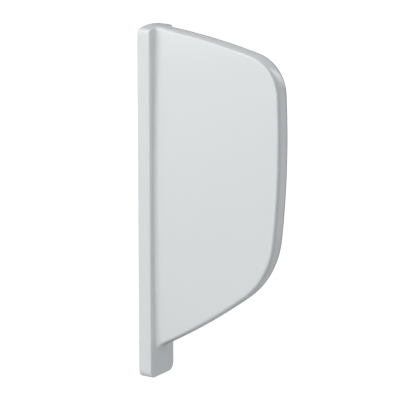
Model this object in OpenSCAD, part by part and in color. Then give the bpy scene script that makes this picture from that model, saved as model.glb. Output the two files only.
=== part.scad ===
// Wall-hung privacy screen: a hollow, glazed china body that hooks over a steel hanger at the top
// and is locked from below by one bolt. The wall is the plane x = 0, +X points out of the wall
// along the panel, Y runs through the panel's thickness and +Z is up. The origin is the centre of
// the body's back face. Heights named *_rise are measured up from the bottom of the flange.

/* [Wall flange] */
// Height of the flange, which is the height of the whole screen
flange_height = 700; // [640:5:760]
// Width of the flange along the wall
flange_width = 82; // [76:1:110]
// Depth of the flange, out of the wall
flange_depth = 28; // [27:1:34]
// Rounding of the flange's front edges
flange_edge = 3; // [1:0.5:5]
// Radius of the flange's bottom corners
bottom_corner = 16; // [5:1:18]
// Width of the flange's rounded top shoulders
shoulder_width = 17; // [10:1:20]
// Height of the flange's rounded top shoulders
shoulder_height = 7; // [4:1:12]
// Rise of the crown on the flange's top
crown_height = 1.7; // [0.5:0.1:3]

/* [Panel outline] */
// How far the panel's top edge starts below the flange's top
top_drop = 0.7; // [0.4:0.1:3]
// How far the panel reaches out of the wall
panel_reach = 304.5; // [280:0.5:340]
// Slope of the top edge where it leaves the flange, in degrees
top_slope = 4.1; // [1:0.1:6]
// Radius of the gently curved top edge
top_radius = 1400; // [900:20:2000]
// Radius of the upper corner
upper_corner = 80; // [60:1:100]
// Radius of the gently curved front edge
front_radius = 1715; // [1200:5:3000]
// Height at which the panel reaches furthest
front_rise = 495; // [460:1:530]
// Radius of the lower corner
lower_corner = 180; // [150:1:220]
// Radius of the gently curved bottom edge
bottom_radius = 1475; // [1200:5:3000]
// Slope of the bottom edge at the wall, in degrees
bottom_slope = 27.5; // [24:0.5:31]
// Height at which the bottom edge would meet the wall
bottom_rise = 43.5; // [36:0.5:60]

/* [Panel thickness] */
// Half thickness of the rim at the screen's top
rim_top = 17.5; // [12.5:0.5:20]
// Half thickness that the rim would have at the screen's bottom
rim_bottom = 19.5; // [15:0.5:22]
// How much thicker each side is at the middle of the wall line
pillow = 6.3; // [4:0.1:10]
// How far the rim's rounding reaches into the panel at the screen's top
rim_depth_top = 4.5; // [3:0.5:9]
// How far it would reach into the panel at the screen's bottom
rim_depth_bottom = 12; // [6:0.5:14]
// Fullness of the rim: 2 is an ellipse, more leaves a wider flat along its edge
rim_fullness = 4; // [2:0.1:5]
// How far the panel's hollow root widens it where it runs into the flange
root_fillet = 5.5; // [4:0.5:13]
// How far the hollow root reaches along the panel
root_reach = 9; // [5:1:15]

/* [China wall] */
// Thickness of the panel's walls
panel_wall = 9; // [7:0.5:10]
// Thickness of the panel's rim, from its edge to the hollow inside
rim_wall = 13; // [12:0.5:18]
// Thickness of the flange's sides
flange_wall = 10; // [8:0.5:11]
// Thickness of the flange's front wall
front_wall = 8; // [6:0.5:9]
// Thickness of the flange's bottom wall, which the lock bolt passes through
bottom_wall = 16; // [15:0.5:20]
// Height of each web across the open back
web_height = 22; // [18:1:30]
// Height of the hanging web's underside
hanging_web_rise = 600; // [560:5:640]

/* [Wall hanger] */
// Width of the hanger along the wall
hanger_width = 50; // [46:1:56]
// Height of the hanger's wall plate
hanger_plate = 52; // [44:1:70]
// Thickness of the steel of the hanger and the bracket
steel = 3; // [2.5:0.5:3]
// Height of the hook's lip above its shelf
lip_height = 18; // [12:1:20]
// Thickness of the soft sleeve and its lining on the shelf
sleeve = 1.5; // [1:0.25:1.5]
// How far the sleeve reaches down the lip's front
sleeve_drop = 10; // [6:1:11]
// Distance between the two screw holes
screw_spacing = 32; // [26:1:34]
// Diameter of the wall screws' holes
screw_hole = 6.5; // [4.5:0.5:7.5]
// Height of the hanger's screw holes above the foot of its plate
hanger_screw_rise = 22; // [12:1:30]

/* [Lock bracket] */
// Width of the bracket along the wall
bracket_width = 48; // [44:1:56]
// Height of the bracket above the top of its pad
bracket_height = 54; // [40:1:70]
// Height of the bracket's screw holes above the top of its pad
bracket_screw_rise = 34; // [24:1:36]
// Thickness of the rubber pad
pad_thickness = 2; // [1.5:0.5:4]

/* [Lock bolt] */
// Thread diameter of the bolt
bolt_size = 6; // [5:1:6]
// Width across flats of the bolt's head and of the nut
bolt_flats = 10; // [8:1:10]
// Height of the bolt's head
head_height = 4; // [3.5:0.5:4]
// Height of the nut
nut_height = 5; // [4:0.5:6.5]
// How far the bolt stands in front of the middle of the bracket's flat shelf
bolt_offset = 0.5; // [0:0.25:1]
// Diameter of the washer and of the bush's flange
washer_width = 14; // [12:0.5:14]
// Thickness of the washer
washer_thickness = 1.6; // [1:0.2:1.6]
// Diameter of the bush's body
bush_width = 10; // [9:0.5:11]
// Thickness of the bush's flange
bush_flange = 1; // [0.5:0.25:1.5]
// Thickness of the cap's disc and of its skirt
cap_wall = 1.2; // [1:0.1:1.2]
// Height of the cap, skirt included
cap_height = 4; // [3:0.5:5]
// Space between the cap's disc and the bolt's head
cap_gap = 2.2; // [1:0.1:3]

/* [Hidden] */
$fn = 64;

// Clearance of close round fits, and of the holes round the bolt, on the diameter
slack = 0.1;
bolt_slack = 0.4;
// How far cuts run past the faces that they open
over = 1;
// Clearance between the steel and the china's front wall, and round the washer in its pocket
front_gap = 2;
washer_gap = 0.6;
// Steps in which bolt lengths come, and the least that a bolt stands out of its nut
bolt_step = 5;
bolt_end = 1;
// Radius inside the steel's bends
bend = 2;
// How much of the root's hollow goes round under the panel's bottom edge
under_share = 0.6;
// Radius of the hollow's own corners
hollow_corner = 6;
// How far the webs run into the flange's side walls
web_root = flange_wall / 2;
// The pillow's fullness up the wall line and out of the wall
pillow_up = 2.2;
pillow_out = 1.2;

// Counts of flat steps in the china's rounded surfaces
top_steps = 5;
corner_steps = 7;
front_steps = 3;
chord_steps = 12;
rim_steps = 6;
fillet_steps = 5;

mouth = flange_depth - front_wall;
shelf_reach = mouth - front_gap;
web_depth = shelf_reach - steel - 2 * sleeve;
pocket_width = washer_width + 2 * washer_gap;
pocket_depth = cap_wall + cap_gap + head_height + washer_thickness + bush_flange;
bolt_grip = washer_thickness + bush_flange + bottom_wall - pocket_depth + pad_thickness + steel;
bolt_length = ceil((bolt_grip + nut_height + bolt_end) / bolt_step) * bolt_step;
half_width = flange_width / 2;
base_z = -flange_height / 2;
top_z = flange_height / 2;
shoulder_z = top_z - crown_height;

// --- Panel outline in the X-Z plane: five arcs, each tangent to the next ---

function unit(v) = v / norm(v);
function angle_of(v) = atan2(v[1], v[0]);
function mix(a, b, t) = a + (b - a) * t;
// A point at an angle on a circle, with the outline's outward normal there
function on_arc(c, r, a) = let (n = [cos(a), sin(a)]) [c + r * n, n];
// Where circles round a and b meet: the point to the left (+1) or right (-1) of the way from a to b
function meeting(a, ra, b, rb, side) =
    let (
        d = norm(b - a),
        e = (b - a) / d,
        along = (ra * ra - rb * rb + d * d) / (2 * d),
        off = sqrt(ra * ra - along * along)
    )
    a + along * e + side * off * [-e[1], e[0]];

top_centre = [flange_depth, top_z - top_drop] - top_radius * [sin(top_slope), cos(top_slope)];
front_centre = [panel_reach - front_radius, base_z + front_rise];
bottom_centre = [0, base_z + bottom_rise] + bottom_radius * [-sin(bottom_slope), cos(bottom_slope)];
upper_centre = meeting(top_centre, top_radius - upper_corner,
                       front_centre, front_radius - upper_corner, -1);
lower_centre = meeting(front_centre, front_radius - lower_corner,
                       bottom_centre, bottom_radius - lower_corner, -1);
// Angles at which neighbouring arcs meet
top_angle = angle_of(upper_centre - top_centre);
front_high = angle_of(upper_centre - front_centre);
front_low = angle_of(lower_centre - front_centre);
bottom_angle = angle_of(lower_centre - bottom_centre);

// The top and bottom edges at a distance from the wall
function top_edge(x) =
    let (u = x - top_centre[0], p = top_centre + [u, sqrt(top_radius * top_radius - u * u)])
    [p, unit(p - top_centre)];
function bottom_edge(x) =
    let (u = x - bottom_centre[0], p = bottom_centre + [u, -sqrt(bottom_radius * bottom_radius - u * u)])
    [p - [0, under_share * root(x, root_fillet)], unit(p - bottom_centre)];
// The point at a depth inside an edge, along the edge's normal, or straight up or down in the
// columns next to the flange, so that those stay in one plane
function inside(edge, depth) =
    edge[0][0] > root_end ? edge[0] - depth * edge[1] : edge[0] - [0, depth / edge[1][1]];

// Half of the outline from the column distances xs, then along its edge, round its corner and
// along the front towards the point of greatest reach
function upper_half(xs) = concat(
    [for (x = xs) top_edge(x)],
    [for (i = [1 : top_steps])
        on_arc(top_centre, top_radius, mix(angle_of(top_edge(xs[len(xs) - 1])[1]), top_angle, i / top_steps))],
    [for (i = [1 : corner_steps])
        on_arc(upper_centre, upper_corner, mix(top_angle, front_high, i / corner_steps))],
    [for (i = [1 : front_steps - 1])
        on_arc(front_centre, front_radius, mix(front_high, 0, i / front_steps))]
);
function lower_half(xs) = concat(
    [for (x = xs) bottom_edge(x)],
    [for (i = [1 : top_steps])
        on_arc(bottom_centre, bottom_radius,
               mix(angle_of(bottom_edge(xs[len(xs) - 1])[1]), bottom_angle, i / top_steps))],
    [for (i = [1 : corner_steps])
        on_arc(lower_centre, lower_corner, mix(bottom_angle, front_low, i / corner_steps))],
    [for (i = [1 : front_steps - 1])
        on_arc(front_centre, front_radius, mix(front_low, 0, i / front_steps))]
);
front_tip = on_arc(front_centre, front_radius, 0);
root_end = flange_depth + root_reach;

// --- Panel thickness ---

// How far the hollow root of the panel stands out at a distance from the wall
function root(x, r) =
    let (u = min(max((root_end - x) / root_reach, 0), 1))
    r * (1 - sqrt(1 - u * u));
// Half the panel's thickness at a point of the column that runs from height low to height high
function half_thickness(x, z, low, high) =
    let (t = min(abs(2 * (z - low) / (high - low) - 1), 1))
    mix(rim_bottom, rim_top, (z - base_z) / flange_height)
    + pillow * (1 - pow(t, pillow_up)) * (1 - pow(x / panel_reach, pillow_out));

// How far the rim's rounding reaches in at a point of the outline
function rim_depth(edge) =
    mix(rim_depth_top, rim_depth_bottom, pow((top_z - edge[0][1]) / flange_height, 2));
// The rim's rounding from the panel's side (t = 0) to the middle of its edge (t = 1):
// [share of its depth, share of the half thickness]
function rim_at(t) = [1 - sin(90 * t), pow(cos(90 * t), 2 / rim_fullness)];

// --- Closed loops: up the +Y side, over the top, down the -Y side, back under the bottom ---

// A loop from its side, over and under runs of points, each given for +Y only, the last two from
// the side to the middle
function loop(side, over, under) =
    let (n = len(side), m = len(over))
    concat(
        side,
        over,
        [for (i = [m - 2 : -1 : 0]) mirrored(over[i])],
        [for (i = [n - 1 : -1 : 0]) mirrored(side[i])],
        [for (i = [0 : m - 1]) mirrored(under[i])],
        [for (i = [m - 2 : -1 : 0]) under[i]]
    );
function mirrored(p) = [p[0], -p[1], p[2]];

// A loop of the panel between a point of the lower half and one of the upper half of the outline.
// The glazed surface has [0, 0, root_fillet]; the hollow's has the wall at the panel's sides, the
// wall at its rim and no root.
glazed = [0, 0, root_fillet];
hollow = [panel_wall, rim_wall, 0];
function panel_loop(low, high, kind) =
    let (a = inside(low, rim_depth(low) + kind[1]), b = inside(high, rim_depth(high) + kind[1]))
    loop(
        [for (i = [0 : chord_steps])
            let (p = mix(a, b, i / chord_steps))
            [p[0], panel_side(p, low, high, kind), p[1]]],
        [for (i = [1 : rim_steps]) rim_point(high, i / rim_steps, low, high, kind)],
        [for (i = [1 : rim_steps]) rim_point(low, i / rim_steps, low, high, kind)]
    );
function panel_side(p, low, high, kind) =
    half_thickness(p[0], p[1], low[0][1], high[0][1]) - kind[0] + root(p[0], kind[2]);
function rim_point(edge, t, low, high, kind) =
    let (r = rim_at(t), p = inside(edge, r[0] * rim_depth(edge) + kind[1]))
    [p[0], panel_side(p, low, high, kind) * r[1], p[1]];

// The flange's outline at a distance from the wall, drawn in by inset. Where the panel's top runs
// into the flange's top, the flange isn't drawn in.
function flange_point(x, y, z, inset) =
    let (
        corner_z = base_z + bottom_corner,
        keep = min(max((abs(y) - root_fillet - rim_top) / root_fillet, 0), 1)
    )
    [
        x,
        y * (1 - inset / half_width),
        z < corner_z ? mix(z, corner_z, inset / bottom_corner) : z > 0 ? z - inset * keep : z
    ];
function flange_loop(x, inset) =
    let (shoulder_steps = ceil(rim_steps / 2), crown_steps = rim_steps - shoulder_steps)
    loop(
        [for (i = [0 : chord_steps])
            flange_point(x, half_width,
                         mix(base_z + bottom_corner, shoulder_z - shoulder_height, i / chord_steps), inset)],
        concat(
            [for (i = [1 : shoulder_steps])
                let (a = 90 * i / shoulder_steps)
                flange_point(x, half_width - shoulder_width * (1 - cos(a)),
                             shoulder_z - shoulder_height * (1 - sin(a)), inset)],
            [for (i = [1 : crown_steps])
                let (t = 1 - i / crown_steps)
                flange_point(x, (half_width - shoulder_width) * t,
                             top_z - crown_height * t * t, inset)]
        ),
        concat(
            [for (i = [1 : shoulder_steps])
                let (a = 90 * i / shoulder_steps)
                flange_point(x, half_width - bottom_corner * (1 - cos(a)),
                             base_z + bottom_corner * (1 - sin(a)), inset)],
            [for (i = [1 : crown_steps])
                flange_point(x, (half_width - bottom_corner) * (1 - i / crown_steps), base_z, inset)]
        )
    );

// The hollow's outline in the flange: a rounded rectangle
function hollow_loop(x, r) =
    let (
        w = half_width - flange_wall,
        low = base_z + bottom_wall,
        high = shoulder_z - shoulder_height,
        arc_steps = ceil(rim_steps / 2),
        flat_steps = rim_steps - arc_steps
    )
    loop(
        [for (i = [0 : chord_steps]) [x, w, mix(low + r, high - r, i / chord_steps)]],
        concat(
            [for (i = [1 : arc_steps])
                let (a = 90 * i / arc_steps)
                [x, w - r * (1 - cos(a)), high - r * (1 - sin(a))]],
            [for (i = [1 : flat_steps]) [x, (w - r) * (1 - i / flat_steps), high]]
        ),
        concat(
            [for (i = [1 : arc_steps])
                let (a = 90 * i / arc_steps)
                [x, w - r * (1 - cos(a)), low + r * (1 - sin(a))]],
            [for (i = [1 : flat_steps]) [x, (w - r) * (1 - i / flat_steps), low]]
        )
    );

// The last few points, on the front edge at the panel's greatest reach: side, rim, side
function tip_points(kind) = concat(
    [for (i = [0 : rim_steps]) tip_point(i / rim_steps, kind)],
    [for (i = [rim_steps - 1 : -1 : 0]) mirrored(tip_point(i / rim_steps, kind))]
);
function tip_point(t, kind) =
    let (
        r = rim_at(t),
        p = front_tip[0] - (r[0] * rim_depth(front_tip) + kind[1]) * front_tip[1],
        h = mix(rim_bottom, rim_top, (p[1] - base_z) / flange_height) - kind[0]
    )
    [p[0], h * r[1], p[1]];

// --- Faces between loops, all wound the same way ---

loop_size = 2 * (chord_steps + 1) + 2 * (2 * rim_steps - 1);
function band(start, next, n) = [
    for (k = [0 : n - 1])
        let (j = (k + 1) % n)
        each [[start + k, next + k, next + j], [start + k, next + j, start + j]]
];
// The flat back end's faces: a fan over the first loop from a point in its middle
function back_faces(middle) = [for (k = [0 : loop_size - 1]) [middle, k, (k + 1) % loop_size]];
// The front end's faces between the last loop, whose points start at s, and the tip at t
function tip_faces(s, t) =
    let (
        n = chord_steps,
        m = 2 * rim_steps,
        top = s + n,
        bottom = s + 2 * n + m
    )
    concat(
        [for (i = [0 : n - 1]) [s + i, t, s + i + 1]],
        [for (i = [0 : m - 1])
            each [[top + i, t + i, t + i + 1], [top + i, t + i + 1, top + i + 1]]],
        [for (i = [0 : n - 1]) [top + m + i, t + m, top + m + i + 1]],
        [for (i = [0 : m - 1])
            let (p = bottom + i, q = i == m - 1 ? s : bottom + i + 1)
            each [[p, t + m - i, t + m - i - 1], [p, t + m - i - 1, q]]]
    );

// A closed solid through loops that run out of the wall, ending at the tip
module skin(loops, tip) {
    count = len(loops);
    middle = [loops[0][0][0], 0, 0];
    points = concat([for (l = loops) each l], tip, [middle]);
    faces = concat(
        back_faces(len(points) - 1),
        [for (c = [0 : count - 2]) each band(c * loop_size, (c + 1) * loop_size, loop_size)],
        tip_faces((count - 1) * loop_size, count * loop_size)
    );
    polyhedron(points, faces, convexity = 10);
}

// Distances from the wall at which the root's hollow is drawn, finest next to the flange
root_columns = [for (i = [0 : fillet_steps])
    flange_depth + root_reach * (1 - cos(90 * i / fillet_steps))];

module china_skin() {
    low = lower_half(root_columns);
    high = upper_half(root_columns);
    skin(concat(
        [flange_loop(0, 0)],
        [for (i = [0 : fillet_steps])
            let (a = 90 * i / fillet_steps)
            flange_loop(flange_depth - flange_edge * (1 - sin(a)), flange_edge * (1 - cos(a)))],
        [for (i = [0 : len(low) - 1]) panel_loop(low[i], high[i], glazed)]
    ), tip_points(glazed));
}

module china_hollow() {
    columns = [mouth, root_end];
    low = lower_half(columns);
    high = upper_half(columns);
    skin(concat(
        [hollow_loop(-over, hollow_corner), hollow_loop(mouth, hollow_corner)],
        [for (i = [0 : len(low) - 1]) panel_loop(low[i], high[i], hollow)]
    ), tip_points(hollow));
}

// --- Levels that the hidden fittings share ---

pad_z = base_z + bottom_wall;
shelf_z = pad_z + pad_thickness;
nut_z = shelf_z + steel;
pocket_z = base_z + pocket_depth;
washer_z = pocket_z - bush_flange;
head_z = washer_z - washer_thickness;
hook_z = base_z + hanging_web_rise - sleeve;
plate_z = hook_z - steel - hanger_plate;
lip_x = web_depth + sleeve;
bolt_axis = [(steel + bend + shelf_reach) / 2 + bolt_offset, 0, 0];
web_width = 2 * (half_width - flange_wall + web_root);
web_levels = [
    hook_z + sleeve,
    -web_height / 2
];

module at_bolt(z) translate(bolt_axis + [0, 0, z]) children();

// A round hole or disc across the wall plane
module along_x(d, from, to) translate([from, 0, 0]) rotate([0, 90, 0]) cylinder(d = d, h = to - from);

// Extrudes a profile drawn in the X-Z plane along Y, centred
module along_y(width) rotate([90, 0, 0]) translate([0, 0, -width / 2]) linear_extrude(width) children();

// Quarter of a bend about a corner at x, z, in the quadrant that starts at angle a
module bend_at(x, z, inner, outer, a) translate([x, z]) rotate(a) intersection() {
    difference() {
        circle(outer);
        circle(inner);
    }
    square(outer + over);
}

module screw_holes(z)
    for (side = [-1, 1])
        translate([0, side * screw_spacing / 2, z]) along_x(screw_hole, -over, steel + over);

module china_screen() color("#eef1f0") {
    difference() {
        china_skin();
        china_hollow();
        at_bolt(base_z - over) cylinder(d = pocket_width, h = pocket_depth + over);
        at_bolt(base_z) cylinder(d = bush_width + 2 * slack, h = bottom_wall + over);
    }
    for (z = web_levels)
        translate([0, -web_width / 2, z]) cube([web_depth, web_width, web_height]);
}

// Hook plate: a plate on the wall, a shelf and a lip that points up
module wall_hanger() color("silver") difference() {
    outer = bend + steel;
    along_y(hanger_width) {
        translate([0, plate_z]) square([steel, hanger_plate + steel - outer]);
        bend_at(outer, hook_z - outer, bend, outer, 90);
        translate([outer, hook_z - steel]) square([lip_x - sleeve - outer, steel]);
        bend_at(lip_x - sleeve, hook_z + sleeve, sleeve, sleeve + steel, 270);
        translate([lip_x, hook_z + sleeve]) square([steel, lip_height - sleeve]);
    }
    screw_holes(plate_z + hanger_screw_rise);
}

// Soft lining on the shelf, up the lip's back, over its top and down its front
module hanger_sleeve() color("dimgray") along_y(hanger_width) {
    flat_x = bend + steel;
    translate([flat_x, hook_z]) square([lip_x - sleeve - flat_x, sleeve]);
    bend_at(lip_x - sleeve, hook_z + sleeve, 0, sleeve, 270);
    translate([lip_x - sleeve, hook_z + sleeve]) square([sleeve, lip_height]);
    translate([lip_x, hook_z + lip_height]) square([steel, sleeve]);
    translate([lip_x + steel, hook_z + lip_height - sleeve_drop]) square([sleeve, sleeve_drop + sleeve]);
}

// Angle: a plate on the wall and a shelf over the bottom wall
module lock_bracket() color("silver") difference() {
    outer = bend + steel;
    along_y(bracket_width) {
        translate([0, shelf_z + outer]) square([steel, bracket_height - outer]);
        bend_at(outer, shelf_z + outer, bend, outer, 180);
        translate([outer, shelf_z]) square([shelf_reach - outer, steel]);
    }
    screw_holes(shelf_z + bracket_screw_rise);
    at_bolt(shelf_z - over) cylinder(d = bolt_size + bolt_slack, h = steel + 2 * over);
}

module bracket_pad() color("#303030") difference() {
    pad_x = bend + steel;
    translate([pad_x, -bracket_width / 2, pad_z])
        cube([shelf_reach - pad_x, bracket_width, pad_thickness]);
    at_bolt(pad_z - over) cylinder(d = bolt_size + bolt_slack, h = pad_thickness + 2 * over);
}

module lock_nut() color("silver") at_bolt(nut_z) difference() {
    rotate(30) cylinder(d = bolt_flats / cos(30), h = nut_height, $fn = 6);
    translate([0, 0, -over]) cylinder(d = bolt_size + slack, h = nut_height + 2 * over);
}

module lock_bolt() color("silver") at_bolt(head_z) {
    cylinder(d = bolt_size, h = bolt_length);
    rotate(30) translate([0, 0, -head_height]) cylinder(d = bolt_flats / cos(30), h = head_height, $fn = 6);
}

module lock_washer() color("silver") at_bolt(head_z) difference() {
    cylinder(d = washer_width, h = washer_thickness);
    translate([0, 0, -over]) cylinder(d = bolt_size + bolt_slack, h = washer_thickness + 2 * over);
}

// Flange under the china, body up through its hole
module bolt_bush() color("ivory") at_bolt(washer_z) difference() {
    union() {
        cylinder(d = washer_width, h = bush_flange);
        cylinder(d = bush_width, h = bush_flange + bottom_wall - pocket_depth);
    }
    translate([0, 0, -over]) cylinder(d = bolt_size + bolt_slack, h = bottom_wall + 2 * over);
}

// Disc flush with the underside, with a skirt that grips the pocket
module bolt_cap() color("white") at_bolt(base_z) difference() {
    cylinder(d = pocket_width - slack, h = cap_height);
    translate([0, 0, cap_wall]) cylinder(d = pocket_width - slack - 2 * cap_wall, h = cap_height);
}

china_screen();
wall_hanger();
hanger_sleeve();
lock_bracket();
bracket_pad();
lock_nut();
lock_bolt();
lock_washer();
bolt_bush();
bolt_cap();
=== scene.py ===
"""Looks of a wall-hung china privacy screen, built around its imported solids.

The glazed body is worked out again as a fine surface from the same sizes as the solid, and the hidden
fittings get their threads, chamfers and finishes. Lengths inside the classes are millimetres in the frame of
the solids: the wall is the plane x = 0, +X points out of the wall, Y runs through the panel's thickness and
+Z is up. They become metres when a mesh is made.
"""

from __future__ import annotations

import logging
import math
from dataclasses import dataclass, field
from enum import Enum
from typing import Any, Sequence

import bmesh
import bpy
import numpy as np
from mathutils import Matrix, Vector

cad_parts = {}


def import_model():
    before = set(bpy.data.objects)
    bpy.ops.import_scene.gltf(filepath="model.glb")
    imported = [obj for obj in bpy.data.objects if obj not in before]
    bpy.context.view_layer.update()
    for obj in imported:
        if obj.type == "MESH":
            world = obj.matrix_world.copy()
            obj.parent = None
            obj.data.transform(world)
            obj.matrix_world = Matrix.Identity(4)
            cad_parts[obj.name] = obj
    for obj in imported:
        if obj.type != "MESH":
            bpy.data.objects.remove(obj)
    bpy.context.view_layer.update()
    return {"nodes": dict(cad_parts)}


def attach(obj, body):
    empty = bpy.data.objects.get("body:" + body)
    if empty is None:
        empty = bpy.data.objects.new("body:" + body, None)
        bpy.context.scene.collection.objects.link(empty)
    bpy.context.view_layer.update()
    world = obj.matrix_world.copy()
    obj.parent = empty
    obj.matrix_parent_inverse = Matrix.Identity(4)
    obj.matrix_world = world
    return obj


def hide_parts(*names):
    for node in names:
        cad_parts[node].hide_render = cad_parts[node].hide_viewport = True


LOG = logging.getLogger("privacy_screen")
MM = 0.001
BODY = "root"
# Decimals of a millimetre to which points are the same point, and a height smaller than any step
WELD_DIGITS = 4
HAIR = 1e-9

Array = np.ndarray
Value = Any
Point = tuple[float, float]
Colour = tuple[float, float, float]


# --- Surfaces worked out with numpy -------------------------------------------------------------------------


def mix(a: Array | float, b: Array | float, t: Array | float) -> Array:
    """Goes from a to b in a straight line as t goes from 0 to 1."""
    return a + (b - a) * t


def unit(v: Array) -> Array:
    """Vectors scaled to length 1 along the last axis."""
    return v / np.linalg.norm(v, axis=-1, keepdims=True)


def quarter(steps: int) -> Array:
    """The angles of a quarter turn in radians, in equal steps."""
    return np.linspace(0.0, np.pi / 2.0, steps + 1)


def ring_angles(count: int) -> Array:
    """The angles of a full turn in radians, without the last, which is the first again."""
    return np.linspace(0.0, 2.0 * np.pi, count, endpoint=False)


def standing(plane: Array, y: Array) -> Array:
    """Points of the X-Z plane moved to y."""
    return np.stack([plane[..., 0], np.broadcast_to(y, plane.shape[:-1]), plane[..., 1]], axis=-1)


def mirrored(points: Array) -> Array:
    """The points on the other side of the plane y = 0."""
    return points * np.array([1.0, -1.0, 1.0])


class Surface:
    """Grids of points in millimetres that are welded into one mesh."""

    def __init__(self) -> None:
        """Starts with no points and no faces."""
        self._points: list[Array] = []
        self._quads: list[Array] = []
        self._slots: list[Array] = []
        self._count = 0

    def add_grid(self, grid: Array, closed: bool = False, slot: int = 0, keep: Array | None = None) -> None:
        """Adds the faces between neighbouring rows and columns of a grid.

        Args:
            grid: points of shape (rows, columns, 3).
            closed: whether the last column joins the first.
            slot: which of the mesh's materials the faces wear.
            keep: which faces are kept, of shape (rows - 1, faces across), or all of them.
        """
        rows, columns = grid.shape[:2]
        index = self._count + np.arange(rows * columns).reshape(rows, columns)
        right = np.roll(index, -1, axis=1) if closed else index[:, 1:]
        left = index if closed else index[:, :-1]
        quads = np.stack([left[:-1], right[:-1], right[1:], left[1:]], axis=-1)
        quads = quads.reshape(-1, 4) if keep is None else quads[keep]
        self._points.append(grid.reshape(-1, 3))
        self._quads.append(quads)
        self._slots.append(np.full(len(quads), slot))
        self._count += rows * columns

    def make(self, name: str, sharp_deg: float = 38.0) -> bpy.types.Object:
        """Welds the grids, drops what has no area, turns the faces outwards and links the object.

        Args:
            name: the piece's name.
            sharp_deg: edges bent by more than this stay crisp.

        Returns:
            The new object, at the origin and unturned.
        """
        points = np.concatenate(self._points)
        _, first, place = np.unique(np.round(points, WELD_DIGITS), axis=0, return_index=True,
                                    return_inverse=True)
        quads = place.reshape(-1)[np.concatenate(self._quads)]
        slots = np.concatenate(self._slots)
        repeats = quads == np.roll(quads, -1, axis=1)
        crossed = (quads[:, 0] == quads[:, 2]) | (quads[:, 1] == quads[:, 3])
        whole = ~repeats.any(axis=1) & ~crossed
        three = (repeats.sum(axis=1) == 1) & ~crossed
        corners = quads[three][~repeats[three]].reshape(-1, 3)
        mesh = bpy.data.meshes.new(name)
        mesh.from_pydata((points[first] * MM).tolist(), [], corners.tolist() + quads[whole].tolist())
        order = np.concatenate([slots[three], slots[whole]]).astype(np.int32)
        mesh.polygons.foreach_set("material_index", order)
        mesh.polygons.foreach_set("use_smooth", np.ones(len(order), dtype=bool))
        work = bmesh.new()
        work.from_mesh(mesh)
        bmesh.ops.recalc_face_normals(work, faces=work.faces)
        work.to_mesh(mesh)
        work.free()
        mesh.set_sharp_from_angle(angle=math.radians(sharp_deg))
        piece = bpy.data.objects.new(name, mesh)
        bpy.context.scene.collection.objects.link(piece)
        return piece


def rounded(corner: Point, before: Point, after: Point, radius: float, steps: int = 5) -> list[Point]:
    """Points that round a right-angled corner of a profile: a quarter circle tangent to both sides.

    Args:
        corner: the sharp corner.
        before: a point back along the profile.
        after: a point on along it.
        radius: the quarter circle's radius.
        steps: its flat steps.

    Returns:
        The quarter circle's points.
    """
    c, back, on = np.array(corner), unit(np.array(before) - corner), unit(np.array(after) - corner)
    turn = quarter(steps)[:, None]
    found = c + radius * (back * (1.0 - np.sin(turn)) + on * (1.0 - np.cos(turn)))
    return [tuple(p) for p in found]


def softened(corners: Sequence[Point], radius: float, steps: int = 4) -> list[Point]:
    """Rounds each corner of a closed profile of right angles.

    Args:
        corners: the sharp corners in order.
        radius: the radius of every corner.
        steps: the flat steps of each.

    Returns:
        The rounded profile.
    """
    found: list[Point] = []
    for i, corner in enumerate(corners):
        found.extend(rounded(corner, corners[i - 1], corners[(i + 1) % len(corners)], radius, steps))
    return found


# --- The china body -----------------------------------------------------------------------------------------


@dataclass(frozen=True)
class Circle:
    """A circle in the X-Z plane."""

    centre: Array
    radius: float

    def at(self, angle: Array) -> Array:
        """Points at angles in radians, each with the outward normal: shape (n, 2, 2)."""
        normal = np.stack([np.cos(angle), np.sin(angle)], axis=-1)
        return np.stack([self.centre + self.radius * normal, normal], axis=-2)

    def towards(self, other: "Circle") -> float:
        """The angle at which the other circle's centre lies from this one's."""
        d = other.centre - self.centre
        return math.atan2(d[1], d[0])

    def meeting(self, other: "Circle", inset: float) -> Array:
        """Where both circles meet, on the right of the way from this one to the other.

        It lies along the line of centres by (ra^2 - rb^2 + d^2) / 2d, and off it by what is left of ra.

        Args:
            other: the other circle.
            inset: how far both are drawn in.

        Returns:
            The point.
        """
        d = float(np.linalg.norm(other.centre - self.centre))
        e = (other.centre - self.centre) / d
        ra, rb = self.radius - inset, other.radius - inset
        along = (ra * ra - rb * rb + d * d) / (2.0 * d)
        return self.centre + along * e - math.sqrt(ra * ra - along * along) * np.array([-e[1], e[0]])


@dataclass(frozen=True)
class Fineness:
    """Counts of steps in the body's rounded surfaces, and where its flat ones are divided."""

    chord: int = 96
    rim: int = 20
    edge: int = 28
    corner: int = 26
    front: int = 20
    fillet: int = 12
    small: int = 4
    web_fillet: int = 8
    web_ring: int = 48
    # Distances from the wall of the loops on the flange's side, and on the walls of its hollow
    side: tuple[float, ...] = (1.5, 4.0, 8.0, 12.0, 16.0, 20.0, 23.5)
    bay: tuple[float, ...] = (3.0, 6.0, 9.0, 12.0, 15.0)
    # Shares of the way across the flange's front face
    face: tuple[float, ...] = (0.06, 0.5, 0.94)
    # Loops that the patch round the bolt's hole spans, and shares of the way from its border to the hole
    patch: int = 6
    patch_rings: tuple[float, ...] = (0.0, 0.35, 0.7, 0.92)

    @property
    def arc(self) -> int:
        """Steps of a loop's round corner."""
        return math.ceil(self.rim / 2)

    @property
    def flat(self) -> int:
        """Steps from a loop's round corner to its middle."""
        return self.rim - self.arc


@dataclass(frozen=True)
class Skin:
    """Which of the panel's two surfaces is meant: how far it lies inside the glazed one, and its root."""

    side: float
    rim: float
    root_start: float
    root_reach: float
    root_depth: float


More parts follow.
